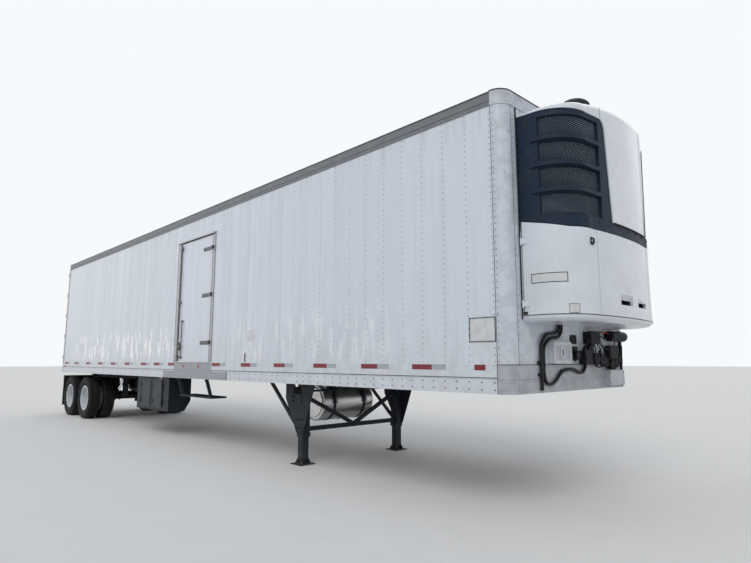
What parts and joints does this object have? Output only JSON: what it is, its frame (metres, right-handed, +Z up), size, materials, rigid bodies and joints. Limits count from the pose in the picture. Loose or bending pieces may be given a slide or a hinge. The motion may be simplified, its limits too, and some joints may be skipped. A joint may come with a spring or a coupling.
{
  "type": "refrigerated van semi trailer",
  "caption": "Box-bodied semi trailer with a nose cooling unit, landing legs, tandem twin wheels, side door, swing rear doors and a transverse fuel tank.",
  "frame": {"origin": "on the ground, at the middle of the overall length and width", "axes": "+X forward to the nose, +Y to the road (left) side, +Z up"},
  "size_m": [15.32, 2.631, 4.185],
  "materials": {
    "white_skin": "gloss white, weathered",
    "rail_white": "white, riveted",
    "rail_grey": "satin grey",
    "liner": "smooth off-white",
    "floor_metal": "scuffed",
    "bare_steel": "satin",
    "dark_frame": "matt black, dusty",
    "galvanised": "dull galvanised",
    "tank_metal": "brushed",
    "box_dark": "satin black",
    "box_grey": "satin grey",
    "tyre_rubber": "dusty black",
    "wheel_white": "white enamel",
    "axle_black": "black enamel",
    "black_rubber": "matt",
    "unit_white": "gloss",
    "unit_dark": "textured blue-grey",
    "grille_black": "matt black",
    "coil_metal": "dusty fins",
    "lamp_red": "gloss red lens",
    "engine_grey": "oily",
    "kingpin_steel": "greased"
  },
  "bodies": {
    "trailer": {"air_springs": "black_rubber", "air_tank": "axle_black", "axles": "axle_black", "bottom_rails": "rail_white", "connector_panel": "galvanised", "coupler_plate": "dark_frame", "crossmembers": "dark_frame", "dock_bumpers": "black_rubber", "document_box": "unit_white", "equipment_box": "box_dark", "evaporator_housing": "liner", "floor": "floor_metal", "front_wall": "white_skin", "fuel_tank": "tank_metal", "fuel_tank_straps": "axle_black", "kingpin": "kingpin_steel", "lamps": "lamp_red", "landing_feet": "dark_frame", "landing_gear_braces": "dark_frame", "landing_legs": "dark_frame", "mud_flaps": "black_rubber", "nose_hoses": "black_rubber", "rear_frame": "bare_steel", "rear_guard": "dark_frame", "roof": "white_skin", "side_door_frame": "bare_steel", "side_step": "dark_frame", "side_wall_curb": "white_skin", "side_wall_road": "white_skin", "slider_frame": "dark_frame", "suspension_arms": "axle_black", "top_rails": "rail_grey", "unit_base": "unit_white", "unit_belt": "unit_dark", "unit_cap": "unit_white", "unit_condenser": "coil_metal", "unit_engine": "engine_grey", "unit_front_panel": "unit_white", "unit_grille": "grille_black", "unit_upper_shroud": "unit_dark", "unit_vent": "grille_black"},
    "side_door": {"side_door": "white_skin", "side_door_hardware": "galvanised"},
    "rear_door_road": {"rear_door_road": "white_skin", "rear_hardware_road": "galvanised"},
    "rear_door_curb": {"rear_door_curb": "white_skin", "rear_hardware_curb": "galvanised"},
    "unit_door_road": {"unit_door_road": "unit_white"},
    "unit_door_curb": {"unit_door_curb": "unit_white"},
    "unit_door_front": {"unit_door_front": "unit_white"},
    "box_door_rear": {"box_door_rear": "box_grey"},
    "box_door_front": {"box_door_front": "box_grey"},
    "wheels_front_road": {"tyres_front_road": "tyre_rubber", "wheel_front_road": "wheel_white"},
    "wheels_front_curb": {"tyres_front_curb": "tyre_rubber", "wheel_front_curb": "wheel_white"},
    "wheels_rear_road": {"tyres_rear_road": "tyre_rubber", "wheel_rear_road": "wheel_white"},
    "wheels_rear_curb": {"tyres_rear_curb": "tyre_rubber", "wheel_rear_curb": "wheel_white"}
  },
  "joints": [
    {"name": "side_door_swing", "type": "hinge", "parent": "trailer", "child": "side_door", "pos_m": [1.112, -1.3175, 2.609], "axis": [0, 0, 1], "range_deg": [0, 180]},
    {"name": "rear_door_road_swing", "type": "hinge", "parent": "trailer", "child": "rear_door_road", "pos_m": [-7.618, 1.2875, 2.704], "axis": [0, 0, -1], "range_deg": [0, 270]},
    {"name": "rear_door_curb_swing", "type": "hinge", "parent": "trailer", "child": "rear_door_curb", "pos_m": [-7.618, -1.2875, 2.704], "axis": [0, 0, 1], "range_deg": [0, 270]},
    {"name": "unit_door_road_swing", "type": "hinge", "parent": "trailer", "child": "unit_door_road", "pos_m": [7.074, 1.074, 2.3], "axis": [0, 0, 1], "range_deg": [0, 90]},
    {"name": "unit_door_curb_swing", "type": "hinge", "parent": "trailer", "child": "unit_door_curb", "pos_m": [7.074, -1.074, 2.3], "axis": [0, 0, -1], "range_deg": [0, 90]},
    {"name": "unit_door_front_swing", "type": "hinge", "parent": "trailer", "child": "unit_door_front", "pos_m": [7.545, 0.906, 2.3], "axis": [0, 0, 1], "range_deg": [0, 100]},
    {"name": "box_door_rear_swing", "type": "hinge", "parent": "trailer", "child": "box_door_rear", "pos_m": [-1.966, -1.224, 0.8], "axis": [0, 0, -1], "range_deg": [0, 110]},
    {"name": "box_door_front_swing", "type": "hinge", "parent": "trailer", "child": "box_door_front", "pos_m": [-0.914, -1.224, 0.8], "axis": [0, 0, 1], "range_deg": [0, 110]},
    {"name": "wheels_front_road_spin", "type": "hinge", "parent": "trailer", "child": "wheels_front_road", "pos_m": [-5.518, 0, 0.511], "axis": [0, 1, 0], "continuous": true},
    {"name": "wheels_front_curb_spin", "type": "hinge", "parent": "trailer", "child": "wheels_front_curb", "pos_m": [-5.518, 0, 0.511], "axis": [0, 1, 0], "continuous": true},
    {"name": "wheels_rear_road_spin", "type": "hinge", "parent": "trailer", "child": "wheels_rear_road", "pos_m": [-6.764, 0, 0.511], "axis": [0, 1, 0], "continuous": true},
    {"name": "wheels_rear_curb_spin", "type": "hinge", "parent": "trailer", "child": "wheels_rear_curb", "pos_m": [-6.764, 0, 0.511], "axis": [0, 1, 0], "continuous": true}
  ]
}
